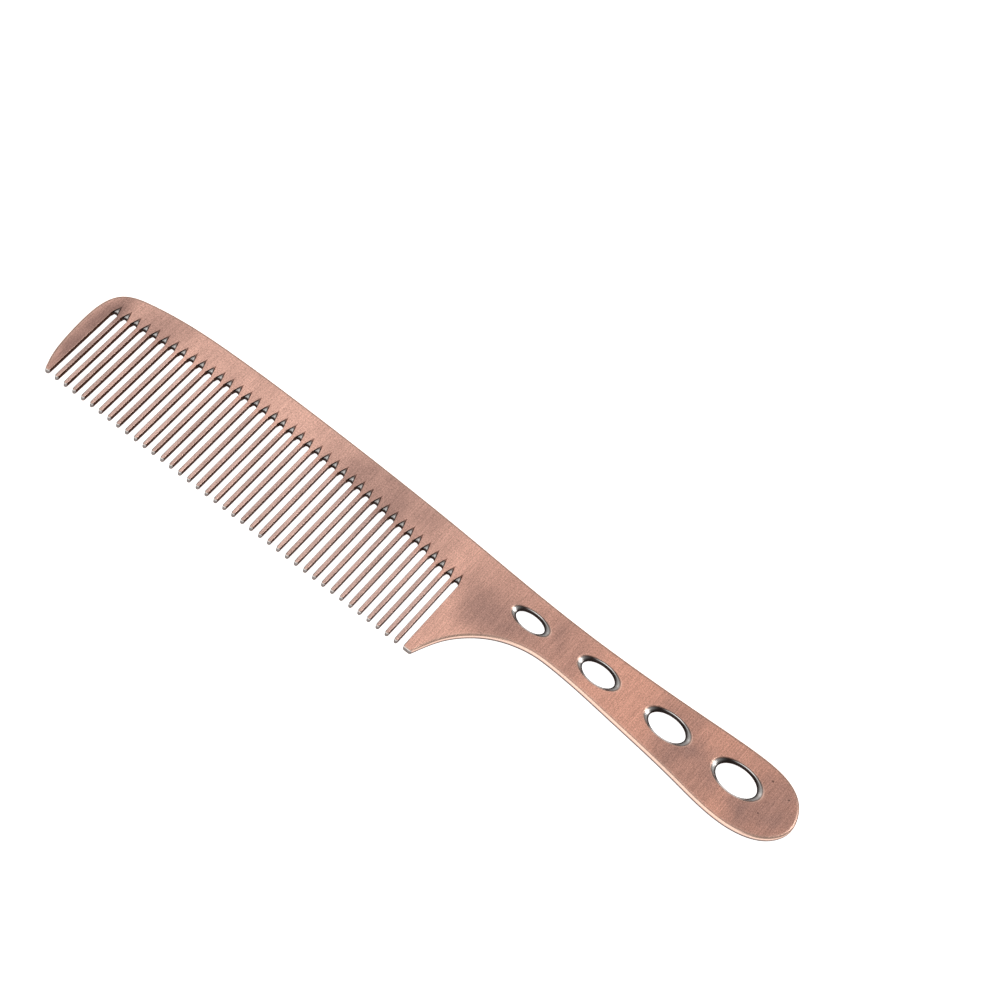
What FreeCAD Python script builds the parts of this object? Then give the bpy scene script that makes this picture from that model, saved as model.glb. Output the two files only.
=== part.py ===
"""Handled barber comb: one flat metal plate with a long row of teeth, a guard at each end of the
row, an arched back and a tapering handle with four countersunk grip holes.

The comb lies flat on its lower face. +X runs along it to the end of the handle, +Y from the tips of
the teeth to the back, +Z up through its thickness. The origin is the middle of its box, on the
lower face. All sizes are in millimetres.
"""
import FreeCAD, Part
import math
import os

Vector = FreeCAD.Vector

# Whole comb
comb_width = 36.5            # from the tips of the teeth to the crown of the back
handle_length = 101.8        # from the inner edge of the rear guard to the end of the handle
thickness = 2.0
edge_break = 0.3             # chamfer around the outline, on both faces

# Teeth
tooth_count = 39
tooth_pitch = 2.88
tooth_width = 1.05
front_guard_width = 4.05     # widest, where the first slot starts
guard_tip_radius = 0.5
stub_length = 0.5            # of each tooth, left on the spine below the round slot ends

# Line of the slot ends, one long arc
root_arc_radius = 369.0
root_crown_drop = 8.0        # from the crown of the back down to the highest slot end
root_crown_inset = 56.3      # from the front of the comb

# Pointed relief groove above each slot, on both faces
relief_length = 2.6          # beyond the slot end
relief_width = 1.9
relief_depth = 0.6           # at the slot end, leaving a land between the two grooves

# Grip holes, evenly spaced along the handle and growing towards its end
hole_count = 4
first_hole_inset = 19.6      # from the inner edge of the rear guard
last_hole_inset = 18.1       # from the end of the handle
hole_line_drop = 9.4         # from the crown of the back
first_hole_length = 8.4
first_hole_width = 4.5
last_hole_length = 11.7
last_hole_width = 7.6
countersink_length = 1.7     # how far the rim stands out at each end of a hole
countersink_width = 0.8      # and at each side
countersink_depth = 0.75     # on each face
neck_margin = 1.5            # of the handle, kept between the first hole and the spine

# Places worked out from the sizes above
slot_width = tooth_pitch - tooth_width
tooth_row_length = front_guard_width + slot_width + tooth_count * tooth_pitch
overall_length = tooth_row_length + handle_length
front_x = -overall_length / 2
end_x = overall_length / 2
heel_x = front_x + tooth_row_length
crown_y = comb_width / 2
tip_y = -comb_width / 2
hole_line_y = crown_y - hole_line_drop
neck_x = heel_x + first_hole_inset - first_hole_length / 2 - countersink_length - neck_margin
beyond = 50.0                # reach of the cutting blocks past the plate


def from_front(inset, drop):
    """A point placed from the front of the comb and down from the crown of its back."""
    return Vector(front_x + inset, crown_y - drop, 0)


def from_tips(x, rise):
    """A point placed up from the line of the tips."""
    return Vector(x, tip_y + rise, 0)


def from_heel(reach, drop):
    """A point placed from the inner edge of the rear guard and down from the crown."""
    return Vector(heel_x + reach, crown_y - drop, 0)


def from_end(inset, drop):
    """A point placed from the end of the handle and down from the crown."""
    return Vector(end_x - inset, crown_y - drop, 0)


def along_handle(share, drop):
    """A point of the handle: share 0 is the inner edge of the rear guard, and 1 its end."""
    return from_heel(share * handle_length, drop)


def outline_edge():
    """Front guard, arched back, handle and hollow curve of the heel, from tip to tip."""
    guard_points = [
        from_tips(front_x + 2.85, 0.0),
        from_tips(front_x + 1.45, 4.0),
        from_tips(front_x + 0.45, 9.9),
        from_tips(front_x, 17.7),
        from_front(0.5, 11.75),
        from_front(2.45, 7.2),
        from_front(5.45, 4.9),
        from_front(9.45, 3.55),
    ]
    back_points = [
        from_front(19.45, 1.65),
        from_front(34.45, 0.45),
        from_front(tooth_row_length * 0.5, 0.0),
        from_front(tooth_row_length * 0.75, 0.25),
        along_handle(-0.085, 0.85),
        along_handle(0.11, 1.75),
        along_handle(0.306, 2.25),
        along_handle(0.5, 1.8),
        along_handle(0.7, 0.65),
    ]
    end_points = [
        from_end(17.5, 0.0),
        from_end(10.7, 0.35),
        from_end(5.7, 1.85),
        from_end(2.5, 4.3),
        from_end(0.5, 8.0),
        from_end(0.0, 11.1),
        from_end(0.9, 14.3),
        from_end(3.9, 17.8),
        from_end(10.9, 20.7),
        from_end(17.0, 21.2),
    ]
    lower_points = [
        along_handle(0.7, 19.7),
        along_handle(0.5, 17.45),
        along_handle(0.306, 15.9),
        from_heel(25.9, 16.05),
        from_heel(20.9, 17.1),
        from_heel(15.9, 19.2),
        from_heel(10.9, 22.8),
        from_tips(heel_x + 6.0, 7.8),
        from_tips(heel_x + 3.1, 1.8),
        from_tips(heel_x + 2.3, 0.0),
    ]
    curve = Part.BSplineCurve()
    curve.interpolate(guard_points + back_points + end_points + lower_points)
    return curve.toShape()


def blank():
    """The whole plate before the teeth and holes are cut, with its outline chamfered."""
    outline = outline_edge()
    tip_line = Part.LineSegment(outline.Vertexes[-1].Point, outline.Vertexes[0].Point).toShape()
    plate = Part.Face(Part.Wire([outline, tip_line])).extrude(Vector(0, 0, thickness))
    # Not the tip line, which lies along X, nor the upright edges
    flat_edges = [edge for edge in plate.Edges if edge.BoundBox.ZLength < 1e-6]
    long_rims = [edge for edge in flat_edges if edge.BoundBox.YLength > thickness]
    return plate.makeChamfer(edge_break, long_rims)


def block(x_low, x_high, y_low, y_high):
    """A cutting block through the plate."""
    low = Vector(x_low, y_low, -1.0)
    return Part.makeBox(x_high - x_low, y_high - y_low, thickness + 2.0, low)


def slot_x(index):
    """Middle of a slot; slot 0 is beside the front guard."""
    return front_x + front_guard_width + slot_width / 2 + index * tooth_pitch


def slot_end_y(index):
    """Top of the round end of a slot, on the long arc."""
    from_crown = slot_x(index) - (front_x + root_crown_inset)
    arc_centre_y = crown_y - root_crown_drop - root_arc_radius
    return arc_centre_y + math.sqrt(root_arc_radius ** 2 - from_crown ** 2)


def join_y(tooth):
    """Where a tooth meets its stub on the spine, below the lower of its two slot ends."""
    lower_end = min(slot_end_y(tooth), slot_end_y(tooth + 1))
    return lower_end - slot_width / 2 - stub_length


front_join_y = slot_end_y(0) - slot_width / 2 - stub_length
rear_join_y = slot_end_y(tooth_count) - slot_width / 2 - stub_length


def slot_cutter(index):
    """The open end of one slot: straight walls and a half round top."""
    x = slot_x(index)
    radius = slot_width / 2
    centre_y = slot_end_y(index) - radius
    bore = Part.makeCylinder(radius, thickness + 2.0, Vector(x, centre_y, -1.0))
    return bore.fuse(block(x - radius, x + radius, centre_y - beyond, centre_y))


def relief_cutter(index, face_z, inward):
    """One pointed groove, sloping from its point on the face down into the slot end."""
    x = slot_x(index)
    end_y = slot_end_y(index)
    base_y = end_y - slot_width / 2
    base_depth = relief_depth * (end_y + relief_length - base_y) / relief_length
    floor = Vector(x, base_y, face_z + inward * base_depth)
    corners = [
        Vector(x, end_y + relief_length, face_z),
        Vector(x - relief_width / 2, base_y, face_z),
        Vector(x + relief_width / 2, base_y, face_z),
    ]
    # Carried a little past the face along the same slopes, so that it cuts cleanly
    apex, left, right = [floor + (corner - floor) * 1.05 for corner in corners]
    sides = [(apex, left, right), (apex, floor, left), (apex, right, floor), (left, floor, right)]
    faces = [Part.Face(Part.makePolygon([*side, side[0]])) for side in sides]
    return Part.makeSolid(Part.makeShell(faces))


def spine(plate):
    """Arched back of the tooth row, with the slot ends, the grooves and a stub for each tooth."""
    shape = plate.common(block(front_x - beyond, neck_x, tip_y, crown_y + beyond))
    inner_x = front_x + front_guard_width
    below = [
        block(front_x - beyond, inner_x, tip_y - beyond, front_join_y),
        block(heel_x, neck_x + beyond, tip_y - beyond, rear_join_y),
    ]
    for tooth in range(tooth_count):
        left = slot_x(tooth)
        below.append(block(left, left + tooth_pitch, tip_y - beyond, join_y(tooth)))
    slots = [slot_cutter(index) for index in range(tooth_count + 1)]
    shape = shape.cut(slots[0].multiFuse(slots[1:] + below))
    reliefs = []
    for index in range(tooth_count + 1):
        reliefs.append(relief_cutter(index, thickness, -1))
        reliefs.append(relief_cutter(index, 0.0, 1))
    return shape.cut(reliefs)


def guard_block(inner_x, outward, top_y):
    """Straight inner edge, rounded tip corner and flat top of a guard, with room outwards."""
    radius = guard_tip_radius
    far_x = inner_x + outward * beyond
    # Middle of the quarter round, seen from its centre
    turn = radius * math.sqrt(0.5)
    centre = Vector(inner_x + outward * radius, tip_y + radius, 0)
    on_wall = Vector(inner_x, tip_y + radius, 0)
    on_tip = Vector(inner_x + outward * radius, tip_y, 0)
    middle = Vector(centre.x - outward * turn, centre.y - turn, 0)
    path = [
        Part.LineSegment(Vector(inner_x, top_y, 0), on_wall).toShape(),
        Part.Arc(on_wall, middle, on_tip).toShape(),
        Part.LineSegment(on_tip, Vector(far_x, tip_y, 0)).toShape(),
        Part.LineSegment(Vector(far_x, tip_y, 0), Vector(far_x, top_y, 0)).toShape(),
        Part.LineSegment(Vector(far_x, top_y, 0), Vector(inner_x, top_y, 0)).toShape(),
    ]
    return Part.Face(Part.Wire(path)).extrude(Vector(0, 0, thickness))


def front_guard(plate):
    """Stout curved tooth that closes the front of the row."""
    return plate.common(guard_block(front_x + front_guard_width, -1, front_join_y))


def rear_guard(plate):
    """Heel of the row: a pointed fin with a hollow outer edge that runs into the handle."""
    fin = plate.common(guard_block(heel_x, 1, rear_join_y))
    return fin.common(block(heel_x - beyond, neck_x, tip_y - beyond, crown_y))


def tooth_bar(tooth):
    """One tooth: a straight bar with a round tip."""
    x = slot_x(tooth) + tooth_pitch / 2
    radius = tooth_width / 2
    left_top = Vector(x - radius, join_y(tooth), 0)
    right_top = Vector(x + radius, join_y(tooth), 0)
    left_tip = Vector(x - radius, tip_y + radius, 0)
    right_tip = Vector(x + radius, tip_y + radius, 0)
    path = [
        Part.LineSegment(left_top, left_tip).toShape(),
        Part.Arc(left_tip, Vector(x, tip_y, 0), right_tip).toShape(),
        Part.LineSegment(right_tip, right_top).toShape(),
        Part.LineSegment(right_top, left_top).toShape(),
    ]
    return Part.Face(Part.Wire(path)).extrude(Vector(0, 0, thickness))


def oval(x, half_length, half_width, z):
    """An oval wire on the line of the grip holes."""
    return Part.Wire(Part.Ellipse(Vector(x, hole_line_y, z), half_length, half_width).toShape())


def grip_hole_cutter(index):
    """One oval hole through the handle, countersunk from both faces."""
    share = index / (hole_count - 1)
    hole_pitch = (handle_length - first_hole_inset - last_hole_inset) / (hole_count - 1)
    x = heel_x + first_hole_inset + index * hole_pitch
    half_length = (first_hole_length + share * (last_hole_length - first_hole_length)) / 2
    half_width = (first_hole_width + share * (last_hole_width - first_hole_width)) / 2
    # Each flare is carried past its face along the same slope, so that it cuts cleanly
    over = 0.2
    stretch = 1 + over / countersink_depth
    throat = Part.Face(oval(x, half_length, half_width, -1.0)).extrude(Vector(0, 0, thickness + 2.0))
    rim_length = half_length + countersink_length * stretch
    rim_width = half_width + countersink_width * stretch
    flares = []
    for face_z, outward in ((0.0, -1), (thickness, 1)):
        inner = oval(x, half_length, half_width, face_z - outward * countersink_depth)
        outer = oval(x, rim_length, rim_width, face_z + outward * over)
        flares.append(Part.makeLoft([inner, outer], True, True))
    return throat.multiFuse(flares)


def handle(plate):
    """Tapering grip with its row of countersunk oval holes."""
    grip = plate.common(block(neck_x, end_x + beyond, tip_y - beyond, crown_y + beyond))
    return grip.cut([grip_hole_cutter(index) for index in range(hole_count)])


def single_solid(shape, name):
    """The one solid of a shape, cleaned of needless edges."""
    solids = shape.removeSplitter().Solids
    if len(solids) != 1 or not solids[0].isValid():
        raise ValueError(f"{name} is not one valid solid: {len(solids)} solids")
    return solids[0]


def main():
    os.makedirs("parts", exist_ok=True)
    plate = blank()
    shapes = {
        "spine": spine(plate),
        "front_guard_tooth": front_guard(plate),
        "rear_guard_tooth": rear_guard(plate),
        "handle": handle(plate),
    }
    for tooth in range(tooth_count):
        shapes[f"tooth_{tooth + 1:02d}"] = tooth_bar(tooth)
    total = 0.0
    for name, shape in shapes.items():
        solid = single_solid(shape, name)
        total += solid.Volume
        solid.exportStep(f"parts/{name}.step")
    print(f"{len(shapes)} nodes, {total / 1000:.2f} cm3, {overall_length:.2f} mm long")


main()
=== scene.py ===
"""Handled barber comb in antique copper: its finished surfaces, floor, lights and camera.

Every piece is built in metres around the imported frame: +X along the comb to the end of its handle,
+Y from the tips of the teeth to the back, +Z up from the lower face to the upper one.
"""

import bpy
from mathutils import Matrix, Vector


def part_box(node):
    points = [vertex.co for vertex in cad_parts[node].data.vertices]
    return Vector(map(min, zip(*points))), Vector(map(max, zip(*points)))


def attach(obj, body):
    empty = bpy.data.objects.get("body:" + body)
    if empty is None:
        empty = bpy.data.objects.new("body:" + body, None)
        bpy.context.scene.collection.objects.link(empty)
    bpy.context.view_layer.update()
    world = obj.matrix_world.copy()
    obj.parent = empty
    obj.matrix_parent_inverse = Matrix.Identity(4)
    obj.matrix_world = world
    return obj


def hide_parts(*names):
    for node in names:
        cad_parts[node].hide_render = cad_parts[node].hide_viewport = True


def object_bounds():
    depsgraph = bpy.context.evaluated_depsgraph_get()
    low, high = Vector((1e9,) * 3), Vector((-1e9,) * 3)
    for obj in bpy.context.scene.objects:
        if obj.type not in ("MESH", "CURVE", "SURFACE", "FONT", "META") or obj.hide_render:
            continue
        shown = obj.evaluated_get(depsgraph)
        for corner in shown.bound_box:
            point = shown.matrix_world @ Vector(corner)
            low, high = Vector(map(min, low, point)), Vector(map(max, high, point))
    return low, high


bl_info = {
    "name": "Copper Barber Comb",
    "version": (1, 0, 0),
    "blender": (4, 5, 0),
    "location": "3D View > Sidebar > Comb",
    "description": "Builds a handled metal comb with brushed copper surfaces around its frame",
    "category": "Add Mesh",
}

import math

import bmesh
import bpy
import numpy as np
from mathutils import Matrix, Vector
from mathutils.geometry import delaunay_2d_cdt

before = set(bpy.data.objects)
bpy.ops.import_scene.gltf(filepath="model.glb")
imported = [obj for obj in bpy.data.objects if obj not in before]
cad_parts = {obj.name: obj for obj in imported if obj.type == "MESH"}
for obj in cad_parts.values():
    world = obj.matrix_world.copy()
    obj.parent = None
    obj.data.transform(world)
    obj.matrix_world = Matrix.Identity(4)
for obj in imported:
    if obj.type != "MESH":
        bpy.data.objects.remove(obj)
CAD_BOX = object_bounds()

MM = 0.001
ROUND_STEPS = 4          # steps of a rounded edge, from face to wall
GROOVE_STEPS = 9         # steps of each flank of a relief groove
CORNER_STEPS = 8         # steps round each corner at the tip of a guard
TIP_STEPS = 16           # steps round the tip of a tooth
HOLE_STATIONS = 96       # sections round each grip hole
STATION = 0.5 * MM       # spacing of the sections along the outline
CURVE_SAMPLES = 4001     # places tried when the outline is searched for a crossing
SHARP_ANGLE = math.radians(25)
HOLE_COUNT = 4
MATERIAL_NAME = "brushed_copper_plate"
BODY = "root"

# Places that the frame gives
FRONT_X, TIP_Y = CAD_BOX[0].x, CAD_BOX[0].y
END_X, CROWN_Y, THICKNESS = CAD_BOX[1]
HEEL_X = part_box("rear_guard_tooth")[0].x
NECK_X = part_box("handle")[0].x
GUARD_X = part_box("front_guard_tooth")[1].x
FRONT_JOIN_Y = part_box("front_guard_tooth")[1].y
REAR_JOIN_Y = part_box("rear_guard_tooth")[1].y
TEETH = sorted(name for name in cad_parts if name.startswith("tooth_"))
TOOTH_BOXES = [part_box(name) for name in TEETH]
ROW_LENGTH = HEEL_X - FRONT_X
HANDLE_LENGTH = END_X - HEEL_X


def length(name, description, default):
    """A length in metres."""
    return bpy.props.FloatProperty(name=name, description=description, default=default,
                                   unit="LENGTH", precision=5, min=0.0)


def share(name, description, default):
    """A share from 0 to 1."""
    return bpy.props.FloatProperty(name=name, description=description, default=default,
                                   min=0.0, max=1.0, subtype="FACTOR")


def colour(name, description, default):
    """A colour without alpha."""
    return bpy.props.FloatVectorProperty(name=name, description=description, default=default,
                                         size=3, min=0.0, max=1.0, subtype="COLOR")


class CombShape(bpy.types.PropertyGroup):
    """Sizes of the comb's edges, grooves and holes."""
    outline_round: length("Outline rounding", "Height of the rubbed outer edges", 0.45 * MM)
    outline_reach: length("Outline reach", "How far in the rubbed outer edges start", 0.75 * MM)
    tooth_round: length("Tooth rounding", "Radius of the long edges of the teeth", 0.15 * MM)
    tip_round: length("Tip rounding", "Radius over the end of each tooth", 0.32 * MM)
    guard_tip: length("Guard tip", "Corner radius at the tips of both guards", 0.55 * MM)
    root_arc: length("Root arc", "Radius of the arc on which the slots end", 369.0 * MM)
    root_drop: length("Root drop", "From the crown down to the highest slot end", 8.0 * MM)
    root_inset: length("Root inset", "From the front to the highest slot end", 56.3 * MM)
    groove_length: length("Groove length", "Pointed groove beyond the slot end", 2.6 * MM)
    groove_depth: length("Groove depth", "Depth of the groove at the slot end", 0.6 * MM)
    groove_spread: length("Groove spread", "How far the groove is wider than the slot", 0.04 * MM)
    hole_line: length("Hole line", "From the crown down to the line of the holes", 9.4 * MM)
    first_inset: length("First hole", "From the rear guard to the first hole", 19.6 * MM)
    last_inset: length("Last hole", "From the last hole to the end of the handle", 18.1 * MM)
    first_hole: bpy.props.FloatVectorProperty(
        name="First throat", description="Length and width of the first hole's throat",
        default=(8.4 * MM, 4.5 * MM), size=2, unit="LENGTH", precision=5)
    last_hole: bpy.props.FloatVectorProperty(
        name="Last throat", description="Length and width of the last hole's throat",
        default=(11.7 * MM, 7.6 * MM), size=2, unit="LENGTH", precision=5)
    flare: bpy.props.FloatVectorProperty(
        name="Countersink", description="How far the rim stands out at the ends and the sides",
        default=(1.7 * MM, 0.8 * MM), size=2, unit="LENGTH", precision=5)
    flare_depth: length("Countersink depth", "Depth of each countersink", 0.72 * MM)


class CombFinish(bpy.types.PropertyGroup):
    """Colours and grain of the copper."""
    copper: colour("Copper", "Bright brushed plate of the tooth row", (0.68, 0.40, 0.32))
    handle_copper: colour("Handle copper", "Warmer plate of the handle", (0.635, 0.325, 0.24))
    tarnish: colour("Tarnish", "Cloudy darker plate", (0.33, 0.195, 0.163))
    # Paler teeth: painted light, standing in for the bright floor's light spreading over the thin teeth
    tooth: colour("Tooth", "Paler plate on the faces of the teeth", (0.52, 0.36, 0.315))
    # Paler rubbed edges, partly real wear and partly painted highlight along the upper outline and the
    # tips
    rubbed_and_highlit: colour("Rubbed copper", "Paler metal on the rubbed edges", (0.80, 0.55, 0.44))
    # Dark patina in the hollows; on the slot walls and the lower outline walls it is also painted shade
    patina_and_shade: colour("Recess", "Dark patina on the walls of the slots", (0.035, 0.026, 0.024))
    # Bare metal in the grooves and holes, lightened as painted highlights
    polished_highlight: colour("Polished", "Bare polished metal in the grooves and holes", (0.84, 0.80, 0.77))
    edge_tint: colour("Edge tint", "Tint of what the metal reflects at a low angle", (0.5, 0.42, 0.4))
    line_width: length("Brush line", "Width of the finest brush lines", 0.14 * MM)
    line_length: length("Brush stroke", "Length of the finest brush lines", 5.0 * MM)
    grain: share("Grain", "How much the brush lines vary the colour", 0.8)
    face_roughness: share("Face roughness", "Of the brushed faces", 0.36)
    recess_roughness: share("Recess roughness", "Of the dark polished metal", 0.20)


class CombStage(bpy.types.PropertyGroup):
    """Floor, lights and camera."""
    floor: colour("Floor", "Pale floor", (0.85, 0.85, 0.85))
    floor_glow: share("Floor glow", "Light that the floor gives of its own", 0.88)
    surround: share("Surround", "Light from all round, dimmer near the horizon", 0.42)
    overhead: bpy.props.FloatProperty(
        name="Overhead light", description="Power of the large soft light", default=3.5,
        min=0.0, unit="POWER")
    front: bpy.props.FloatProperty(
        name="Front light", description="Power of the soft light beside the camera", default=3.0,
        min=0.0, unit="POWER")
    side: bpy.props.FloatProperty(
        name="Side light", description="Power of the soft light past the handle", default=3.2,
        min=0.0, unit="POWER")
    azimuth: bpy.props.FloatProperty(
        name="Azimuth", description="Camera's turn about the comb", subtype="ANGLE",
        default=math.radians(19.31))
    elevation: bpy.props.FloatProperty(
        name="Elevation", description="Camera's height above the plane of the comb",
        subtype="ANGLE", default=math.radians(59.04))
    roll: bpy.props.FloatProperty(
        name="Roll", description="Camera's turn about its own line of sight", subtype="ANGLE",
        default=math.radians(20.54))
    distance: length("Distance", "Camera to the point that it faces", 784.1 * MM)
    aim: bpy.props.FloatVectorProperty(
        name="Aim", description="Point that the camera faces, from the middle of the upper face",
        default=(1.3 * MM, 30.9 * MM), size=2, unit="LENGTH", precision=5)
    lens: bpy.props.FloatProperty(
        name="Lens", description="Focal length", subtype="DISTANCE_CAMERA", default=111.64)


# ---------------------------------------------------------------- curves

class SmoothLine:
    """A smooth curve through points, read by the distance along its chords."""

    def __init__(self, points):
        self.points = np.array(points, float)
        self.steps = np.linalg.norm(np.diff(self.points, axis=0), axis=1)
        self.knots = np.concatenate([[0.0], np.cumsum(self.steps)])
        self.bends = self.solve_bends()

    def solve_bends(self):
        """Second derivatives at the points that let every slope run on smoothly."""
        count = len(self.points)
        rows = np.eye(count)
        change = np.zeros_like(self.points)
        slopes = np.diff(self.points, axis=0) / self.steps[:, None]
        for i in range(1, count - 1):
            before, after = self.steps[i - 1], self.steps[i]
            rows[i, i - 1:i + 2] = before, 2 * (before + after), after
            change[i] = 6 * (slopes[i] - slopes[i - 1])
        return np.linalg.solve(rows, change)

    def at(self, along):
        """Places, and unit normals that point away from the plate."""
        along = np.asarray(along, float)
        index = np.searchsorted(self.knots, along, side="right") - 1
        index = np.clip(index, 0, len(self.steps) - 1)
        step = self.steps[index][:, None]
        near = (self.knots[index + 1] - along)[:, None] / step
        far = 1 - near
        low, high = self.points[index], self.points[index + 1]
        bend_low, bend_high = self.bends[index], self.bends[index + 1]
        sag = (near ** 3 - near) * bend_low + (far ** 3 - far) * bend_high
        tilt = (3 * far ** 2 - 1) * bend_high - (3 * near ** 2 - 1) * bend_low
        way = (high - low) / step + tilt * step / 6
        way /= np.linalg.norm(way, axis=1)[:, None]
        return near * low + far * high + sag * step ** 2 / 6, right_of(way)

    def crossings(self, axis, value):
        """Distances at which the curve passes a value of x (axis 0) or y (axis 1)."""
        along = np.linspace(0, self.knots[-1], CURVE_SAMPLES)
        offset = self.at(along)[0][:, axis] - value
        found = np.nonzero(offset[:-1] * offset[1:] < 0)[0]
        part = offset[found] / (offset[found] - offset[found + 1])
        return along[found] + part * (along[1] - along[0])

    def stretch(self, start, end):
        """Evenly spaced stations from one distance to another."""
        count = max(2, round(abs(end - start) / STATION) + 1)
        return self.at(np.linspace(start, end, count))


def right_of(ways):
    """Unit vectors a quarter turn to the right of others."""
    return np.stack([ways[:, 1], -ways[:, 0]], axis=1)


def corner_arc(corner, way_in, way_out, radius):
    """Stations round an outward corner of the plate, tangent to the ways in and out of it."""
    way_in = np.array(way_in, float) / np.linalg.norm(way_in)
    way_out = np.array(way_out, float) / np.linalg.norm(way_out)
    turn = math.acos(np.clip(way_in @ way_out, -1, 1))
    start = np.array(corner) - way_in * radius * math.tan(turn / 2)
    first = np.array([way_in[1], -way_in[0]])
    centre = start - first * radius
    angles = math.atan2(first[1], first[0]) + np.linspace(0, turn, CORNER_STEPS + 1)
    normals = np.stack([np.cos(angles), np.sin(angles)], axis=1)
    return centre + normals * radius, normals


def outline():
    """The comb's outline: heel tip, handle, arched back and front guard, in that order.

    The pairs of numbers are in millimetres, apart from the shares of the handle's length.
    """
    # Outer edge of the heel, up from its tip
    points = [
        (HEEL_X + 2.3 * MM, TIP_Y),
        (HEEL_X + 3.1 * MM, TIP_Y + 1.8 * MM),
        (HEEL_X + 6.0 * MM, TIP_Y + 7.8 * MM),
    ]
    # Hollow sweep from the heel into the handle: past the heel, and below the crown
    hollow = [(10.9, 22.8), (15.9, 19.2), (20.9, 17.1), (25.9, 16.05)]
    points += [(HEEL_X + x * MM, CROWN_Y - drop * MM) for x, drop in hollow]
    # Lower edge of the handle: share of its length, and below the crown
    lower = [(0.306, 15.9), (0.5, 17.45), (0.7, 19.7)]
    points += [(HEEL_X + part * HANDLE_LENGTH, CROWN_Y - drop * MM) for part, drop in lower]
    # Round end of the handle: in from its end, and below the crown
    end = [(17.0, 21.2), (10.9, 20.7), (3.9, 17.8), (0.9, 14.3), (0.0, 11.1),
           (0.5, 8.0), (2.5, 4.3), (5.7, 1.85), (10.7, 0.35), (17.5, 0.0)]
    points += [(END_X - inset * MM, CROWN_Y - drop * MM) for inset, drop in end]
    # Upper edge of the handle, measured as its lower edge is
    upper = [(0.7, 0.65), (0.5, 1.8), (0.306, 2.25), (0.11, 1.75), (-0.085, 0.85)]
    points += [(HEEL_X + part * HANDLE_LENGTH, CROWN_Y - drop * MM) for part, drop in upper]
    # Crown of the back
    points += [(FRONT_X + 0.75 * ROW_LENGTH, CROWN_Y - 0.25 * MM), (FRONT_X + 0.5 * ROW_LENGTH, CROWN_Y)]
    # From the crown down to the front: in from the front, and below the crown
    front = [(34.45, 0.45), (19.45, 1.65), (9.45, 3.55), (5.45, 4.9), (2.45, 7.2), (0.5, 11.75)]
    points += [(FRONT_X + inset * MM, CROWN_Y - drop * MM) for inset, drop in front]
    # Front guard: in from the front, and above the tips
    guard = [(0.0, 17.7), (0.45, 9.9), (1.45, 4.0), (2.85, 0.0)]
    points += [(FRONT_X + inset * MM, TIP_Y + rise * MM) for inset, rise in guard]
    return SmoothLine(points)


# ---------------------------------------------------------------- edges and meshes

TOOTH_RIM = 0.14 * MM            # flat strip beside the rounded edge of a tooth
OUTER_RIM = 0.30 * MM            # beside the outline
TIP_RIM = 0.10 * MM              # round the ends of the teeth and guards
POINT_RIM = 2.2 * TOOTH_RIM      # beyond the point of a relief groove
TIP_EASE = (0.6 * MM, 3.0 * MM)  # above the tips, where the edges pass into their own rounding
EASE_START = 3.2 * MM            # above the tips, where the sections of a tooth come closer together
EASE_LEVELS = 8                  # sections from there down
CORNER_GAP = 0.10 * MM           # from a rounded corner to the next section beside it
SHOULDER_GAP = 0.15 * MM         # from the shoulder of a groove to the next section below it
MERGE_GAP = 1e-6                 # in millimetres, below which two points of a flat face are one


class Run:
    """A stretch of edge: sections from the upper face to the lower one, side by side.

    Each row of a section holds its share of the dark finish (patina, and painted shade on the walls),
    and of rubbed or bare metal, which is partly painted highlight.
    """

    def __init__(self, sections, patina_and_shade, rubbed_and_highlit):
        self.sections = sections
        self.patina_and_shade = np.broadcast_to(patina_and_shade, sections.shape[:2])
        self.rubbed_and_highlit = np.broadcast_to(rubbed_and_highlit, sections.shape[:2])


def chain(*runs):
    """Runs joined end to end."""
    return Run(*(np.concatenate([getattr(run, part) for run in runs])
                 for part in ("sections", "patina_and_shade", "rubbed_and_highlit")))


def both_faces(rows):
    """Rows from the upper face to the middle, repeated in reverse for the lower half."""
    return np.concatenate([rows, rows[::-1]])


def edge(shape, stations, sizes, zones, square=(None, None)):
    """A rounded edge of a given reach, height and flat rim, softer near the tips of the teeth.

    Its first or last section may lie square in a cut that runs along x (0) or y (1).
    """
    places, normals = stations[0], np.array(stations[1])
    for end, axis in zip((0, -1), square):
        if axis is not None:
            along = normals[end, axis]
            normals[end] = 0.0
            normals[end, axis] = 1 / along
    rise = places[:, 1] - TIP_Y
    at_tip = (shape.tip_round, shape.tip_round, TIP_RIM)
    reach, height, rim = (np.interp(rise, TIP_EASE, pair)[:, None] for pair in zip(at_tip, sizes))
    angles = np.linspace(0, math.pi / 2, ROUND_STEPS + 1)
    insets = np.hstack([reach + rim, reach * (1 - np.sin(angles))])
    drops = np.hstack([0 * height, height * (1 - np.cos(angles))])
    upper = section_points(places, normals, insets, THICKNESS - drops)
    lower = section_points(places, normals, insets, drops)[:, ::-1]
    return Run(np.concatenate([upper, lower], axis=1), *zones)


def section_points(places, normals, insets, heights):
    """Points at insets from the edge and heights, one row of each section after another."""
    flat = places[:, None] - normals[:, None] * insets[..., None]
    return np.concatenate([flat, heights[..., None]], axis=2)


def with_lower_half(upper):
    """The rows of a section's upper half, followed by their mirror image on the lower face."""
    lower = upper[..., ::-1, :] * (1, 1, -1) + (0, 0, THICKNESS)
    return np.concatenate([upper, lower], axis=-2)


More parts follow.
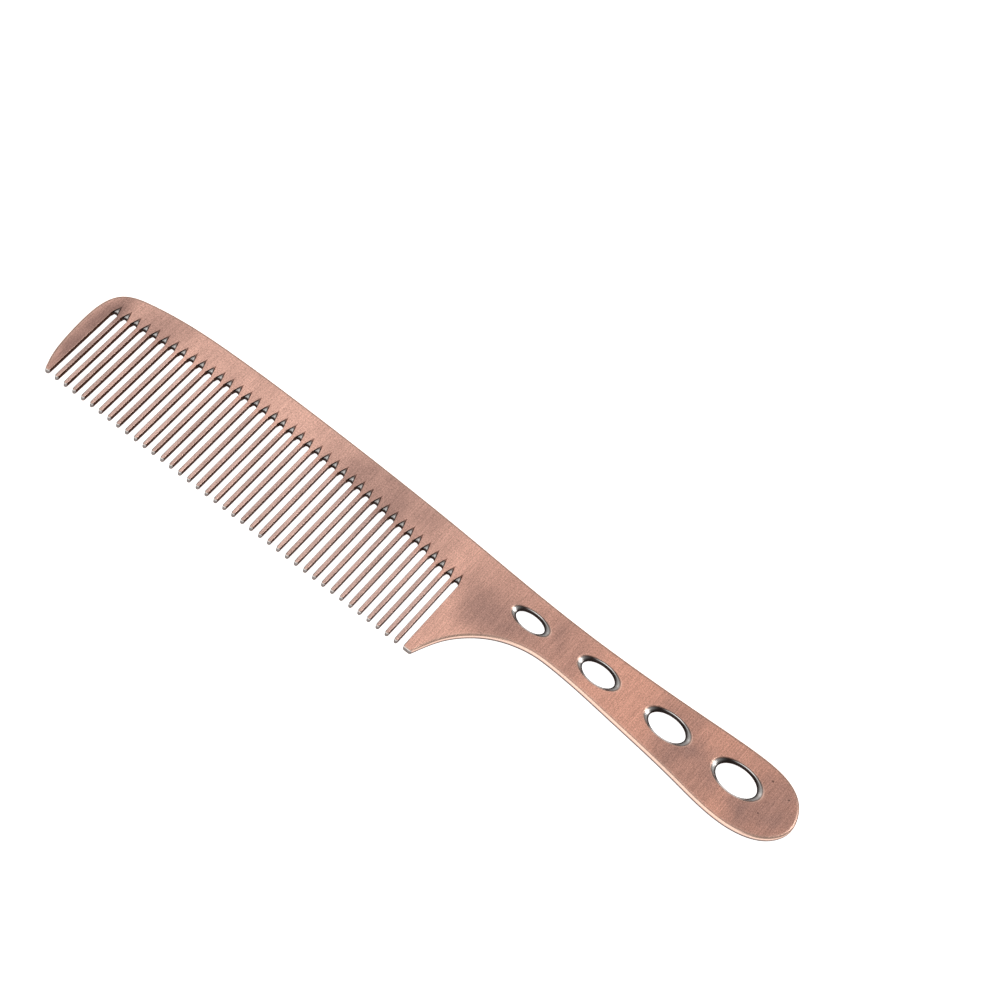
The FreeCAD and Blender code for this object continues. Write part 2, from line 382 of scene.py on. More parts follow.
# Shares of dark finish (patina and painted shade) and of rubbed finish (wear and painted highlight) on
# the rows of each kind of edge, rim first
# Outline: paler upper rounding, partly wear and partly painted highlight; painted shade on the lower
# wall and rounding
OUTER_ZONES = ([0.0, 0.0, 0.0, 0.0, 0.0, 0.0, 1.0, 0.95, 0.7, 0.3, 0.0, 0.0],
               [0.0, 0.1, 0.4, 0.75, 1.0, 1.0, 0.0, 0.1, 0.2, 0.2, 0.1, 0.0])
# Slot walls: dark patina, deepened as painted shade
SLOT_ZONES = (both_faces([0.0, 0.0, 0.0, 0.2, 0.7, 1.0]),
              both_faces([0.0, 0.1, 0.2, 0.2, 0.1, 0.0]))
# Tips: dark walls of patina and painted shade, and paler rounding of wear and painted highlight
TIP_ZONES = (both_faces([0.0, 0.0, 0.1, 0.5, 0.9, 1.0]),
             both_faces([0.0, 0.3, 0.6, 1.0, 0.7, 0.35]))


class PlateMesh:
    """Points, faces and finish shares of one piece of the plate, until its mesh is made."""

    def __init__(self):
        self.points = []
        self.faces = []
        self.patina_and_shade = []
        self.rubbed_and_highlit = []

    def add_points(self, points, patina_and_shade, rubbed_and_highlit):
        """Adds points with their finish shares, and returns their indices."""
        first = len(self.points)
        self.points.extend(points)
        self.patina_and_shade.extend(patina_and_shade)
        self.rubbed_and_highlit.extend(rubbed_and_highlit)
        return np.arange(first, len(self.points))

    def add_run(self, run, closed=False):
        """Adds a run's sections with the faces between them, and returns their indices."""
        stations, rows = run.sections.shape[:2]
        index = self.add_points(run.sections.reshape(-1, 3).tolist(), run.patina_and_shade.ravel().tolist(),
                                run.rubbed_and_highlit.ravel().tolist()).reshape(stations, rows)
        ring = np.vstack([index, index[:1]]) if closed else index
        for here, there in zip(ring[:-1], ring[1:]):
            for row in range(rows - 1):
                self.faces.append((here[row], here[row + 1], there[row + 1], there[row]))
        return index

    def add_corner(self, place):
        """The upper and lower point where two cuts meet."""
        return self.add_points([(*place, THICKNESS), (*place, 0.0)], (0.0, 0.0), (0.0, 0.0))

    def add_loop(self, parts):
        """Closes a loop of runs and cut corners with flat cut faces, and returns its two rims."""
        columns = []
        for part in parts:
            if isinstance(part, Run):
                index = self.add_run(part)
                columns.append((index[0], index[-1], index[:, 0], index[:, -1]))
            else:
                pair = self.add_corner(part)
                columns.append((pair, pair, pair[:1], pair[1:]))
        for here, there in zip(columns, columns[1:] + columns[:1]):
            self.faces.append((*here[1], *there[0][::-1]))
        return [np.concatenate([column[side] for column in columns]) for side in (2, 3)]

    def fill(self, rings, upward):
        """A flat face inside the first ring and around the others, as triangles."""
        chosen = np.concatenate(rings)
        flat = [Vector(self.points[index][:2]) / MM for index in chosen]
        edges, first = [], 0
        for ring in rings:
            edges += [(first + i, first + (i + 1) % len(ring)) for i in range(len(ring))]
            first += len(ring)
        # Output type 1 keeps the triangles inside the outermost ring
        _, _, triangles, origins, _, _ = delaunay_2d_cdt(flat, edges, [], 1, MERGE_GAP)
        holes = [[flat[i] for i in range(len(chosen)) if chosen[i] in set(ring)] for ring in rings[1:]]
        for triangle in triangles:
            a, b, c = (origins[corner][0] for corner in triangle)
            middle = (flat[a] + flat[b] + flat[c]) / 3
            if any(is_inside(middle, hole) for hole in holes):
                continue
            turns_left = (flat[b] - flat[a]).cross(flat[c] - flat[a]) > 0
            order = (a, b, c) if turns_left == upward else (a, c, b)
            self.faces.append(tuple(chosen[corner] for corner in order))

    def fill_faces(self, outer, holes=()):
        """The upper and the lower flat face."""
        self.fill([outer[0], *(hole[0] for hole in holes)], True)
        self.fill([outer[1], *(hole[1] for hole in holes)], False)

    def make(self, name, material, *nodes):
        """Makes the finished object, which rides on the comb's body in place of its CAD nodes."""
        mesh = bpy.data.meshes.new(name)
        faces = [tuple(int(corner) for corner in face) for face in self.faces]
        mesh.from_pydata(self.points, [], faces)
        for title, values in (("patina_and_shade", self.patina_and_shade), ("rubbed_and_highlit", self.rubbed_and_highlit)):
            mesh.attributes.new(title, "FLOAT", "POINT").data.foreach_set("value", values)
        shape = bmesh.new()
        shape.from_mesh(mesh)
        for each in shape.faces:
            each.smooth = True
        for each in shape.edges:
            each.smooth = each.is_manifold and each.calc_face_angle() < SHARP_ANGLE
        shape.to_mesh(mesh)
        shape.free()
        mesh.materials.append(material)
        piece = bpy.data.objects.new(name, mesh)
        bpy.context.scene.collection.objects.link(piece)
        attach(piece, BODY)
        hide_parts(*nodes)


def is_inside(point, ring):
    """Whether a point lies in a ring of points."""
    odd = False
    for a, b in zip(ring, ring[1:] + ring[:1]):
        if (a.y > point.y) != (b.y > point.y):
            odd ^= point.x < a.x + (point.y - a.y) / (b.y - a.y) * (b.x - a.x)
    return odd


# ---------------------------------------------------------------- comb sizes

def slot_walls(index):
    """x of the two walls of a slot; slot 0 is beside the front guard."""
    left = GUARD_X if index == 0 else TOOTH_BOXES[index - 1][1].x
    right = HEEL_X if index == len(TEETH) else TOOTH_BOXES[index][0].x
    return left, right


def join_levels(index):
    """y at which the walls of a slot pass from the spine to what lies on its left and right."""
    left = FRONT_JOIN_Y if index == 0 else TOOTH_BOXES[index - 1][1].y
    right = REAR_JOIN_Y if index == len(TEETH) else TOOTH_BOXES[index][1].y
    return left, right


def slot_end(shape, x):
    """y of the top of a slot's round end, on one long arc."""
    from_crown = x - (FRONT_X + shape.root_inset)
    return CROWN_Y - shape.root_drop - shape.root_arc + math.sqrt(shape.root_arc ** 2 - from_crown ** 2)


def outer_edge(shape, stations, square):
    """The comb's outline edge: rubbed, with a painted highlight above and painted shade below."""
    sizes = (shape.outline_reach, shape.outline_round, OUTER_RIM)
    return edge(shape, stations, sizes, OUTER_ZONES, square)


def tip_edge(shape, stations):
    """The edge round the end of a tooth or a guard."""
    return edge(shape, stations, (shape.tip_round, shape.tip_round, TIP_RIM), TIP_ZONES)


def wall(shape, x, levels):
    """A straight slot wall at x, through the given y levels."""
    places = np.array([(x, level) for level in levels])
    way = 1.0 if levels[-1] > levels[0] else -1.0
    normals = np.tile((way, 0.0), (len(levels), 1))
    sizes = (shape.tooth_round, shape.tooth_round, TOOTH_RIM)
    return edge(shape, (places, normals), sizes, SLOT_ZONES)


def finger_levels(join_y, end_y):
    """y levels down the wall of a tooth, close together where its edges grow softer."""
    return [join_y, *np.linspace(TIP_Y + EASE_START, end_y, EASE_LEVELS)]


# Finish shares over a groove, from its rim to the wall: dark patina at the shoulders, how much of it
# goes at the point, and bare metal in between, lightened as a painted highlight
GROOVE_RECESS = both_faces([0.0, 0.7, 1.0, 1.0, 1.0, 1.0])
GROOVE_FADE = both_faces([0.0, 0.7, 0.75, 0.4, 0.0, 0.0])
GROOVE_BARE_HIGHLIGHT = both_faces([0.0, 0.0, 0.1, 0.5, 1.0, 0.0])


def groove_flank(shape, x, base_y, half, side):
    """One flank of the groove above a slot, from its shoulder (side -1 left, 1 right) to its point."""
    rise = slot_end(shape, x) + shape.groove_length - base_y
    spread = half + shape.groove_spread
    outward = np.array([side * rise, spread]) / math.hypot(rise, spread)
    steps = np.linspace(0, 1, GROOVE_STEPS + 1)
    parts = np.linspace(0, 1, ROUND_STEPS + 1)
    sections = []
    for step in steps:
        face = np.array([x + side * spread * (1 - step), base_y + rise * step])
        angle = math.pi / 2 * step
        land = np.array([x + side * half * math.cos(angle), base_y + half * math.sin(angle)])
        rim = face + (np.array([0.0, POINT_RIM]) if step == 1 else outward * TOOTH_RIM)
        rows = [(*rim, THICKNESS)]
        for part in parts:
            spot = face + (land - face) * part
            rows.append((*spot, THICKNESS - shape.groove_depth * part))
        sections.append(with_lower_half(np.array(rows)))
    # Dark patina at the shoulders, bare metal with a painted highlight in the middle, and fading out at
    # the point
    middle = np.clip(steps * 3.0 - 1.1, 0, 1)[:, None]
    point = np.clip(steps * 2.0 - 1.0, 0, 1)[:, None]
    return Run(np.array(sections), GROOVE_RECESS - point * GROOVE_FADE, middle * GROOVE_BARE_HIGHLIGHT)


def slot_run(shape, index):
    """The edge of one slot on the spine: up its left wall, round its end and down its right wall."""
    left, right = slot_walls(index)
    left_y, right_y = join_levels(index)
    x, half = (left + right) / 2, (right - left) / 2
    base_y = slot_end(shape, x) - half
    rising = wall(shape, left, (left_y, base_y - SHOULDER_GAP))
    left_flank = groove_flank(shape, x, base_y, half, -1)
    right_flank = groove_flank(shape, x, base_y, half, 1)
    # The right flank is walked from its point down, without the point again
    back = Run(right_flank.sections[-2::-1], right_flank.patina_and_shade[-2::-1], right_flank.rubbed_and_highlit[-2::-1])
    falling = wall(shape, right, (base_y - SHOULDER_GAP, right_y))
    return chain(rising, left_flank, back, falling)


# Rows of a countersink, rim first: shares of its reach and of its depth
COUNTERSINK = [(1.2, 0.0), (1.04, 0.0), (0.97, 0.02), (0.88, 0.11), (0.72, 0.28), (0.56, 0.44),
               (0.40, 0.61), (0.2, 0.82), (0.06, 0.97), (0.0, 1.12)]
# Finish shares on those rows: dark patina, bare metal banded with painted highlights, and a painted
# highlight line
HOLE_RECESS = both_faces([0.0, 0.0, 0.05, 0.35, 0.8, 1.0, 1.0, 1.0, 1.0, 1.0])
HOLE_BARE_HIGHLIGHT = both_faces([0.0, 0.4, 0.5, 0.35, 0.6, 0.75, 0.6, 0.35, 0.1, 0.0])
HOLE_HIGHLIGHT_LINE = both_faces([0.0, 0.0, 0.0, 0.0, 0.0, 0.8, 0.0, 0.0, 0.0, 0.0])
SHADED_SIDE = math.radians(100)    # of a countersink, toward the back of the comb
HIGHLIGHT_LINE_SIDE = math.radians(50)       # the part of it where a painted highlight line runs


def facing(angles, side, gain, less):
    """A share that is 1 toward one side of a hole and 0 away from it."""
    return np.clip(gain * np.cos(angles - side) - less, 0, 1)[:, None]


def hole_run(shape, index):
    """The countersunk edge of one grip hole, walked so that the plate lies on its left."""
    part = index / (HOLE_COUNT - 1)
    pitch = (HANDLE_LENGTH - shape.first_inset - shape.last_inset) / (HOLE_COUNT - 1)
    x = HEEL_X + shape.first_inset + index * pitch
    y = CROWN_Y - shape.hole_line
    throat = [a / 2 + part * (b - a) / 2 for a, b in zip(shape.first_hole, shape.last_hole)]
    angles = -np.linspace(0, 2 * math.pi, HOLE_STATIONS, endpoint=False)
    rows = []
    for out, depth in COUNTERSINK:
        spots = [x + (throat[0] + out * shape.flare[0]) * np.cos(angles),
                 y + (throat[1] + out * shape.flare[1]) * np.sin(angles),
                 np.full(HOLE_STATIONS, THICKNESS - depth * shape.flare_depth)]
        rows.append(np.stack(spots, axis=1))
    # Painted shade: the side toward the back of the comb is left darker, with a painted highlight line
    # along its middle
    shaded = facing(angles, SHADED_SIDE, 1.8, 0.5)
    line = facing(angles, HIGHLIGHT_LINE_SIDE, 1.6, 0.3)
    bare_and_highlight = (1.0 - 0.8 * shaded) * HOLE_BARE_HIGHLIGHT + shaded * line * HOLE_HIGHLIGHT_LINE
    return Run(with_lower_half(np.stack(rows, axis=1)), HOLE_RECESS, bare_and_highlight)


# ---------------------------------------------------------------- shader maths

class Value:
    """A socket's output. Arithmetic on it adds Math nodes to its tree."""

    def __init__(self, tree, output):
        self.tree = tree
        self.output = output

    def maths(self, operation, *values):
        """One Math node on this and other values."""
        return self.tree.add("ShaderNodeMath", {"operation": operation}, dict(enumerate(values)))

    def __add__(self, other):
        return self.maths("ADD", self, other)

    def __radd__(self, other):
        return self.maths("ADD", other, self)

    def __sub__(self, other):
        return self.maths("SUBTRACT", self, other)

    def __rsub__(self, other):
        return self.maths("SUBTRACT", other, self)

    def __mul__(self, other):
        return self.maths("MULTIPLY", self, other)

    def __rmul__(self, other):
        return self.maths("MULTIPLY", other, self)

    def __truediv__(self, other):
        return self.maths("DIVIDE", self, other)

    def __rtruediv__(self, other):
        return self.maths("DIVIDE", other, self)

    def inside(self, low, high):
        """1 from low to high, and 0 elsewhere."""
        return self.maths("GREATER_THAN", self, low) * self.maths("LESS_THAN", self, high)

    def between(self, low, high):
        """0 below low and 1 above high, with a smooth rise between."""
        settings = {"interpolation_type": "SMOOTHSTEP"}
        values = {"Value": self, "From Min": low, "From Max": high}
        return self.tree.add("ShaderNodeMapRange", settings, values)

    def clipped(self):
        """Kept from 0 to 1."""
        return self.maths("MINIMUM", self.maths("MAXIMUM", self, 0.0), 1.0)


class ShaderTree:
    """The node tree of one material or world, and the one way its nodes are added."""

    def __init__(self, owner):
        owner.use_nodes = True
        self.tree = owner.node_tree
        self.tree.nodes.clear()

    def add(self, kind, settings, values, output=0):
        """Adds a node: its settings first, then values or links for its sockets."""
        node = self.tree.nodes.new(kind)
        for name, value in settings.items():
            setattr(node, name, value)
        for name, value in values.items():
            if isinstance(value, Value):
                self.tree.links.new(value.output, node.inputs[name])
            else:
                node.inputs[name].default_value = value
        if not node.outputs:
            return None
        return Value(self, node.outputs[output])

    def place(self):
        """The point's place in the frame, in metres."""
        return self.add("ShaderNodeTexCoord", {}, {}, "Object")

    def axes(self, vector):
        """The x, y and z of a vector."""
        node = self.add("ShaderNodeSeparateXYZ", {}, {0: vector}).output.node
        return [Value(self, output) for output in node.outputs]

    def noise(self, place, grain, detail, roughness, offset=0.0):
        """Soft noise around 0.5, with its grain in cells per metre along x, y and z."""
        cells = self.add("ShaderNodeVectorMath", {"operation": "MULTIPLY"}, {0: place, 1: grain})
        moved = self.add("ShaderNodeVectorMath", {"operation": "ADD"}, {0: cells, 1: (offset,) * 3})
        values = {"Vector": moved, "Scale": 1.0, "Detail": detail, "Roughness": roughness}
        return self.add("ShaderNodeTexNoise", {"noise_dimensions": "3D"}, values)

    def blend(self, factor, first, second):
        """A mix of two colours."""
        return self.add("ShaderNodeMix", {"data_type": "RGBA"}, {0: factor, 6: first, 7: second}, 2)

    def attribute(self, name):
        """A number stored at the mesh's points."""
        settings = {"attribute_type": "GEOMETRY", "attribute_name": name}
        return self.add("ShaderNodeAttribute", settings, {}, "Fac")

    def output(self, kind, shader):
        """Ends the tree in its output node."""
        self.add(kind, {}, {"Surface": shader})


def rgba(colour_value):
    """A colour with full alpha."""
    return (*colour_value, 1.0)


# Cloudy patches of tarnish, in millimetres: middle from the front and from the middle of the comb's
# width, half length, half width, and strength
TARNISH_PATCHES = [
    (4.6, -4, 4, 16, 0.75), (17, 10, 7, 12, 0.30),                                  # front
    (76, 14, 10, 12, 0.20), (86, 12, 9, 15, 0.42), (97, 12, 9, 16, 0.42),           # back of the row
    (128, 8, 11, 11, 0.40), (132, 2, 12, 8, 0.35), (148, 9, 9, 9, 0.45),            # neck
    (183, 13, 9, 8, 0.30), (189, 2, 9, 9, 0.55),                                    # between the holes
    (209, 13, 10, 10, 0.30), (216, 4, 11, 12, 0.45),                                # end of the handle
]

# Small dark pits in the upper face near the handle's end, in millimetres: place, measured as for the
# patches, and radius
PITS = [(209.1, 14.4, 0.34), (215.0, 12.9, 0.28), (211.0, 4.9, 0.30)]

# Grain of the coarser noises, in cells per metre along x, y and z
WANDER_GRAIN = (160.0, 90.0, 90.0)       # ragged edges of the tarnish
CLOUD_GRAIN = (85.0, 60.0, 60.0)         # faint clouds between its patches
UNEVEN_GRAIN = (330.0, 45.0, 45.0)       # along and between the teeth
SMUDGE_GRAIN = (900.0, 900.0, 900.0)     # on bare and on dark metal

RAGGEDNESS = 1.8                     # how far the wander noise moves the edges of the tarnish
WARMING = (-30 * MM, 70 * MM)        # x between which the plate turns warmer
PALE_DROP = 10.0 * MM                # from the crown down to the arc where the teeth turn paler
PALE_FADE = (-1.0 * MM, 3.0 * MM)    # below that arc, where they start and end to do so
LINE_DEPTH = 0.008 * MM              # of the brush lines


def tarnish_mask(tree, place, x, y):
    """Cloudy darker patches with ragged edges."""
    wander = tree.noise(place, WANDER_GRAIN, 3.0, 0.6)
    total = 0.0
    for middle_x, middle_y, half_x, half_y, strength in TARNISH_PATCHES:
        across = (x - (FRONT_X + middle_x * MM)) / (half_x * MM)
        along = (y - middle_y * MM) / (half_y * MM)
        distance = across * across + along * along + (wander - 0.5) * RAGGEDNESS
        total = (1.3 - distance * 0.8).clipped() * strength + total
    clouds = tree.noise(place, CLOUD_GRAIN, 3.0, 0.55, 7.3)
    return (total * (0.6 + 0.8 * clouds) + 0.30 * clouds.between(0.4, 0.8)).clipped()


def pit_mask(x, y, z):
    """The few small pits in the upper face, darkest in the middle."""
    total = 0.0
    for middle_x, middle_y, radius in PITS:
        across = (x - (FRONT_X + middle_x * MM)) / (radius * MM)
        along = (y - middle_y * MM) / (radius * MM)
        total = (1.2 - (across * across + along * along)).clipped() + total
    return total * z.inside(THICKNESS * 0.75, THICKNESS * 2)


def copper(shape, finish):
    """Antique copper plate: brushed faces, rubbed edges and dark polished recesses, with painted shade
    on the walls and painted highlights on the edges, grooves and holes.
    """
    made = bpy.data.materials.get(MATERIAL_NAME)
    if made:
        return made
    material = bpy.data.materials.new(MATERIAL_NAME)
    tree = ShaderTree(material)
    place = tree.place()
    x, y, z = tree.axes(place)
    across, along = 1 / finish.line_width, 1 / finish.line_length
    lines = tree.noise(place, (across, along, along), 3.0, 0.65)
    streaks = tree.noise(place, (across / 3, along / 4, along / 4), 3.0, 0.6, 3.1)
    patina_and_shade = tree.attribute("patina_and_shade")
    rubbed_and_highlit = tree.attribute("rubbed_and_highlit")

    # Brushed faces, with tarnish in patches and a grain of lines, streaks and specks
    tarnish = tarnish_mask(tree, place, x, y)
    specks = tree.noise(place, (across / 2, across / 3, across / 3), 2.0, 0.7, 5.3)
    grain = 1.0 + ((lines - 0.5) * 1.5 + (streaks - 0.5) * 0.5 + (specks - 0.5) * 2.2) * finish.grain
    plate = tree.blend(x.between(*WARMING), rgba(finish.copper), rgba(finish.handle_copper))
    face = tree.blend(tarnish, plate, rgba(finish.tarnish))
    # The teeth are painted paler than the spine, standing in for the bright floor's light spreading over
    # them, from the arc of the slot ends down
    from_crown = x - (FRONT_X + shape.root_inset)
    root_y = (CROWN_Y - PALE_DROP) - from_crown * from_crown / (2 * shape.root_arc)
    teeth = (root_y - y).between(*PALE_FADE) * x.inside(GUARD_X, HEEL_X)
    face = tree.blend(teeth * 0.75, face, rgba(finish.tooth))
    uneven = tree.noise(place, UNEVEN_GRAIN, 2.0, 0.5, 9.1)
    grain = grain + (uneven - 0.5) * 0.9 * teeth
    face = tree.add("ShaderNodeVectorMath", {"operation": "SCALE"}, {0: face, "Scale": grain})
    wear_and_highlight = (rubbed_and_highlit * (0.55 + 0.9 * streaks)).clipped()
    face = tree.blend(wear_and_highlight, face, rgba(finish.rubbed_and_highlit))

    # Recesses and the lower outline walls, dark with patina and painted shade or bare with painted
    # highlights, and the pits
    smudge = tree.noise(place, SMUDGE_GRAIN, 3.0, 0.6, 1.7)
    bare_and_highlight = rubbed_and_highlit.between(0.1, 0.9) * (0.75 + 0.5 * smudge)
    dark = tree.blend(bare_and_highlight.clipped(), rgba(finish.patina_and_shade), rgba(finish.polished_highlight))
    patina_shade_mask = patina_and_shade.between(0.05, 0.95)
    base = tree.blend(patina_shade_mask, face, dark)
    base = tree.blend(pit_mask(x, y, z) * 0.7, base, rgba(finish.patina_and_shade))

    # Polish of the metal, and the relief of its lines
    rough_face = finish.face_roughness + (lines - 0.5) * 0.28 + tarnish * 0.07 - wear_and_highlight * 0.14
    rough_dark = finish.recess_roughness + smudge * 0.12
    roughness = (rough_face * (1.0 - patina_shade_mask) + rough_dark * patina_shade_mask).clipped()
    relief = lines * (1.0 - patina_shade_mask) + smudge * 0.2
    bump = tree.add("ShaderNodeBump", {}, {"Height": relief, "Strength": 0.3, "Distance": LINE_DEPTH})
    shader = tree.add("ShaderNodeBsdfPrincipled", {}, {
        "Base Color": base,
        "Metallic": 1.0,
        "Specular Tint": rgba(finish.edge_tint),
        "Roughness": roughness,
        "Normal": bump,
    })
    tree.output("ShaderNodeOutputMaterial", shader)
    return material


# ---------------------------------------------------------------- pieces

def guard_tip(shape, first, second, way_in, way_out):
    """Both rounded corners at the tip of a guard: as one run, and as their stations."""
    arcs = [corner_arc(first, way_in, (1, 0), shape.guard_tip),
            corner_arc(second, (1, 0), way_out, shape.guard_tip)]
    stations = [np.concatenate(each) for each in zip(*arcs)]
    return tip_edge(shape, stations), arcs


class COMB_OT_spine(bpy.types.Operator):
    """Arched back of the tooth row, with its slot ends, grooves and tooth stubs"""
    bl_idname = "comb.spine"
    bl_label = "Spine"

    def execute(self, context):
        shape, finish = context.scene.comb_shape, context.scene.comb_finish
        line = outline()
        back = line.stretch(line.crossings(0, NECK_X)[-1], line.crossings(1, FRONT_JOIN_Y)[-1])
        back = outer_edge(shape, back, (1, 0))
        slots = [slot_run(shape, index) for index in range(len(TEETH) + 1)]
        plate = PlateMesh()
        plate.fill_faces(plate.add_loop([*slots, (NECK_X, REAR_JOIN_Y), back]))
        plate.make("comb_spine", copper(shape, finish), "spine")
        return {"FINISHED"}


class COMB_OT_front_guard(bpy.types.Operator):
    """Stout curved tooth that closes the front of the row"""
    bl_idname = "comb.front_guard"
    bl_label = "Front guard"

    def execute(self, context):
        shape, finish = context.scene.comb_shape, context.scene.comb_finish
        line = outline()
        places, normals = line.at([line.knots[-1]])
        way = (-normals[0, 1], normals[0, 0])
        tip, arcs = guard_tip(shape, places[0], (GUARD_X, TIP_Y), way, (0, 1))
        places, normals = line.stretch(line.crossings(1, FRONT_JOIN_Y)[-1], line.knots[-1])
        clear = places[:, 1] > arcs[0][0][0, 1] + CORNER_GAP
        outer = outer_edge(shape, (places[clear], normals[clear]), (0, None))
        levels = finger_levels(FRONT_JOIN_Y, arcs[1][0][-1, 1] + CORNER_GAP)
        inner = wall(shape, GUARD_X, levels[::-1])
        plate = PlateMesh()
        plate.fill_faces(plate.add_loop([chain(outer, tip, inner)]))
        plate.make("comb_front_guard", copper(shape, finish), "front_guard_tooth")
        return {"FINISHED"}


class COMB_OT_teeth(bpy.types.Operator):
    """Slender teeth with softly rounded tips"""
    bl_idname = "comb.teeth"
    bl_label = "Teeth"

    def execute(self, context):
        shape, finish = context.scene.comb_shape, context.scene.comb_finish
        for name, (low, high) in zip(TEETH, TOOTH_BOXES):
            half = (high.x - low.x) / 2
            middle = Vector(((low.x + high.x) / 2, low.y + half))
            angles = np.linspace(-math.pi, 0, TIP_STEPS + 1)[1:-1]
            normals = np.stack([np.cos(angles), np.sin(angles)], axis=1)
            tip = tip_edge(shape, (np.array(middle) + half * normals, normals))
            levels = finger_levels(high.y, middle.y)
            plate = PlateMesh()
            run = chain(wall(shape, low.x, levels), tip, wall(shape, high.x, levels[::-1]))
            plate.fill_faces(plate.add_loop([run]))
            plate.make("comb_" + name, copper(shape, finish), name)
        return {"FINISHED"}


class COMB_OT_heel(bpy.types.Operator):
    """Rear guard that sweeps from its tip into the underside of the handle"""
    bl_idname = "comb.heel"
    bl_label = "Heel"

    def execute(self, context):
        shape, finish = context.scene.comb_shape, context.scene.comb_finish
        line = outline()
        places, normals = line.at([0.0])
        way = (-normals[0, 1], normals[0, 0])
        tip, arcs = guard_tip(shape, (HEEL_X, TIP_Y), places[0], (0, -1), way)
        places, normals = line.stretch(0.0, line.crossings(0, NECK_X)[0])
        clear = places[:, 1] > arcs[1][0][-1, 1] + CORNER_GAP
        outer = outer_edge(shape, (places[clear], normals[clear]), (None, 1))
        inner = wall(shape, HEEL_X, finger_levels(REAR_JOIN_Y, arcs[0][0][0, 1] + CORNER_GAP))
        plate = PlateMesh()
        plate.fill_faces(plate.add_loop([chain(inner, tip, outer), (NECK_X, REAR_JOIN_Y)]))
        plate.make("comb_heel", copper(shape, finish), "rear_guard_tooth")
        return {"FINISHED"}


class COMB_OT_handle(bpy.types.Operator):
    """Handle plate with its row of countersunk oval grip holes"""
    bl_idname = "comb.handle"
    bl_label = "Handle"

    def execute(self, context):
        shape, finish = context.scene.comb_shape, context.scene.comb_finish
        line = outline()
        lower, upper = line.crossings(0, NECK_X)[[0, -1]]
        rim = outer_edge(shape, line.stretch(lower, upper), (1, 1))
        plate = PlateMesh()
        outer = plate.add_loop([rim])
        holes = []
        for index in range(HOLE_COUNT):
            ring = plate.add_run(hole_run(shape, index), closed=True)
            holes.append((ring[:, 0], ring[:, -1]))
        plate.fill_faces(outer, holes)
        plate.make("comb_handle", copper(shape, finish), "handle")
        return {"FINISHED"}


# Soft lights round the comb: place, and width and height, in metres
OVERHEAD_BOX = ((-0.45, 0.53, 1.28), (1.1, 1.18))
FRONT_BOX = ((0.0, -0.88, 0.95), (0.95, 0.8))
SIDE_BOX = ((0.66, 0.63, 0.94), (0.36, 0.55))

# Light from all round: near the horizon, overhead, and how high it passes from one to the other
HORIZON_LIGHT = (0.45, 0.45, 0.45)
SKY_LIGHT = (1.0, 1.0, 1.0)
HORIZON_RISE = (0.02, 0.35)


class COMB_OT_stage(bpy.types.Operator):
    """Pale floor, soft lights and camera"""
    bl_idname = "comb.stage"
    bl_label = "Stage"

    def execute(self, context):
        scene, stage = context.scene, context.scene.comb_stage
        add_floor(scene, stage)
        add_softbox(scene, "overhead_softbox", *OVERHEAD_BOX, stage.overhead)
        add_softbox(scene, "front_softbox", *FRONT_BOX, stage.front)
        add_softbox(scene, "side_softbox", *SIDE_BOX, stage.side)
        world = scene.world or bpy.data.worlds.new("studio")
        scene.world = world
        tree = ShaderTree(world)
        _, _, height = tree.axes(tree.add("ShaderNodeTexCoord", {}, {}, "Generated"))
        light = tree.blend(height.between(*HORIZON_RISE), rgba(HORIZON_LIGHT), rgba(SKY_LIGHT))
        tree.output("ShaderNodeOutputWorld", tree.add("ShaderNodeBackground", {}, {
            "Color": light,
            "Strength": stage.surround,
        }))
        add_camera(scene, stage)
        scene.view_settings.view_transform = "Standard"
        return {"FINISHED"}


def add_floor(scene, stage):
    """A large pale floor that glows a little, like a light table, so that the slots read clearly."""
    mesh = bpy.data.meshes.new("pale_floor")
    reach, level = 3.0, -0.02 * MM
    corner_points = [(x * reach, y * reach, level) for x, y in ((-1, -1), (1, -1), (1, 1), (-1, 1))]
    mesh.from_pydata(corner_points, [], [(0, 1, 2, 3)])
    material = bpy.data.materials.new("pale_floor")
    tree = ShaderTree(material)
    tree.output("ShaderNodeOutputMaterial", tree.add("ShaderNodeBsdfPrincipled", {}, {
        "Base Color": rgba(stage.floor),
        "Roughness": 0.7,
        "Emission Color": (1.0, 1.0, 1.0, 1.0),
        "Emission Strength": stage.floor_glow,
    }))
    mesh.materials.append(material)
    floor = bpy.data.objects.new("pale_floor", mesh)
    scene.collection.objects.link(floor)


def add_softbox(scene, name, place, size, power):
    """A rectangular soft light that faces the comb."""
    light = bpy.data.lights.new(name, "AREA")
    light.shape = "RECTANGLE"
    light.size, light.size_y = size
    light.energy = power
    softbox = bpy.data.objects.new(name, light)
    softbox.location = place
    softbox.rotation_euler = Vector(place).to_track_quat("Z", "Y").to_euler()
    scene.collection.objects.link(softbox)


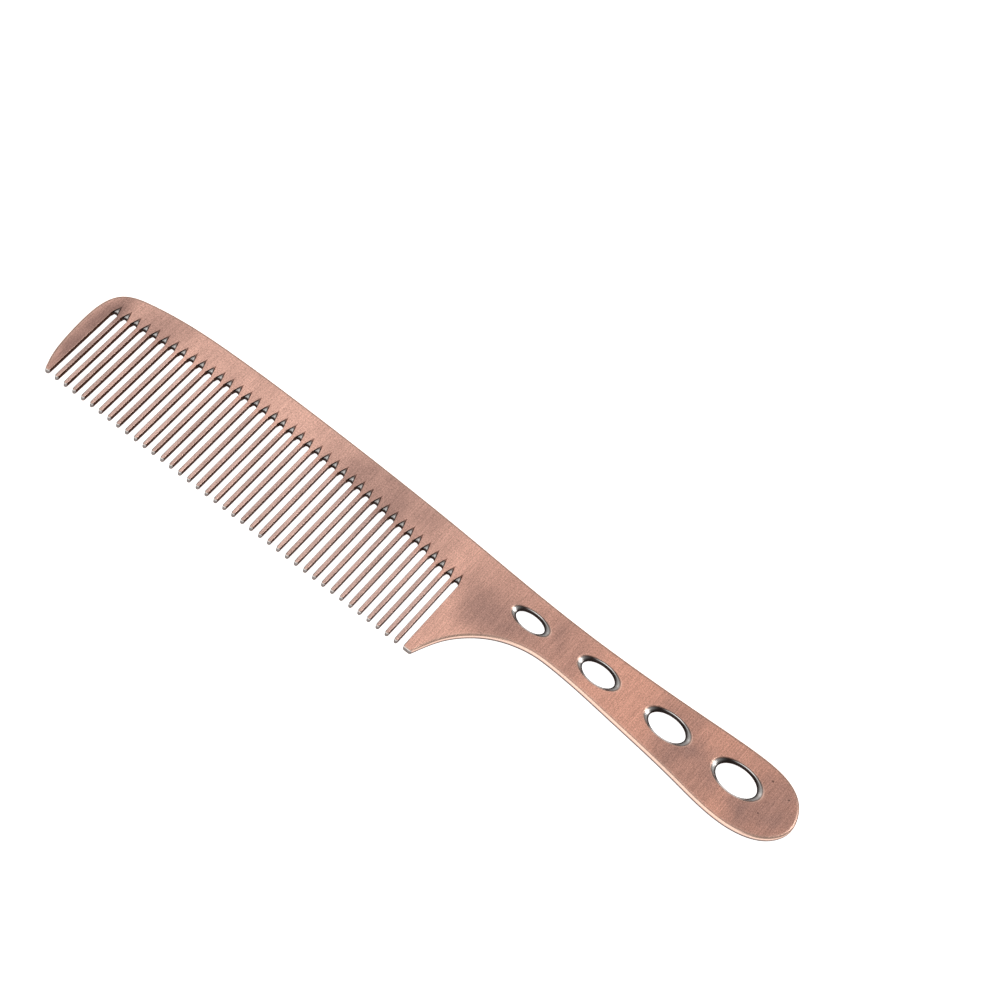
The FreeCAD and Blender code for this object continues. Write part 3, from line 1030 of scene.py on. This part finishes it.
def add_camera(scene, stage):
    """A long-lens camera that looks down on the comb from beside its handle."""
    aim = Vector((*stage.aim, THICKNESS))
    level = math.cos(stage.elevation)
    away = Vector((math.sin(stage.azimuth) * level, -math.cos(stage.azimuth) * level,
                   math.sin(stage.elevation)))
    right = Vector((0, 0, 1)).cross(away).normalized()
    up = away.cross(right)
    turn = Matrix((right, up, away)).transposed() @ Matrix.Rotation(stage.roll, 3, "Z")
    lens = bpy.data.cameras.new("comb_camera")
    lens.lens = stage.lens
    lens.clip_start, lens.clip_end = 0.01, 20.0
    camera = bpy.data.objects.new("comb_camera", lens)
    camera.matrix_world = Matrix.Translation(aim + away * stage.distance) @ turn.to_4x4()
    scene.collection.objects.link(camera)
    scene.camera = camera


class COMB_PT_parts(bpy.types.Panel):
    """The comb's pieces and its stage"""
    bl_idname = "COMB_PT_parts"
    bl_label = "Copper comb"
    bl_space_type = "VIEW_3D"
    bl_region_type = "UI"
    bl_category = "Comb"

    def draw(self, context):
        for operator in OPERATORS:
            self.layout.operator(operator.bl_idname)
        for group in (context.scene.comb_shape, context.scene.comb_finish, context.scene.comb_stage):
            for name in group.bl_rna.properties.keys():
                if name not in ("rna_type", "name"):
                    self.layout.prop(group, name)


# ---------------------------------------------------------------- registration

OPERATORS = (COMB_OT_spine, COMB_OT_front_guard, COMB_OT_teeth, COMB_OT_heel, COMB_OT_handle,
             COMB_OT_stage)
CLASSES = (CombShape, CombFinish, CombStage, *OPERATORS, COMB_PT_parts)


def register():
    for each in CLASSES:
        bpy.utils.register_class(each)
    bpy.types.Scene.comb_shape = bpy.props.PointerProperty(type=CombShape)
    bpy.types.Scene.comb_finish = bpy.props.PointerProperty(type=CombFinish)
    bpy.types.Scene.comb_stage = bpy.props.PointerProperty(type=CombStage)


def unregister():
    del bpy.types.Scene.comb_stage
    del bpy.types.Scene.comb_finish
    del bpy.types.Scene.comb_shape
    for each in reversed(CLASSES):
        bpy.utils.unregister_class(each)


def main():
    register()
    bpy.ops.comb.spine()
    bpy.ops.comb.front_guard()
    bpy.ops.comb.teeth()
    bpy.ops.comb.heel()
    bpy.ops.comb.handle()
    bpy.ops.comb.stage()


if __name__ == "__main__":
    main()
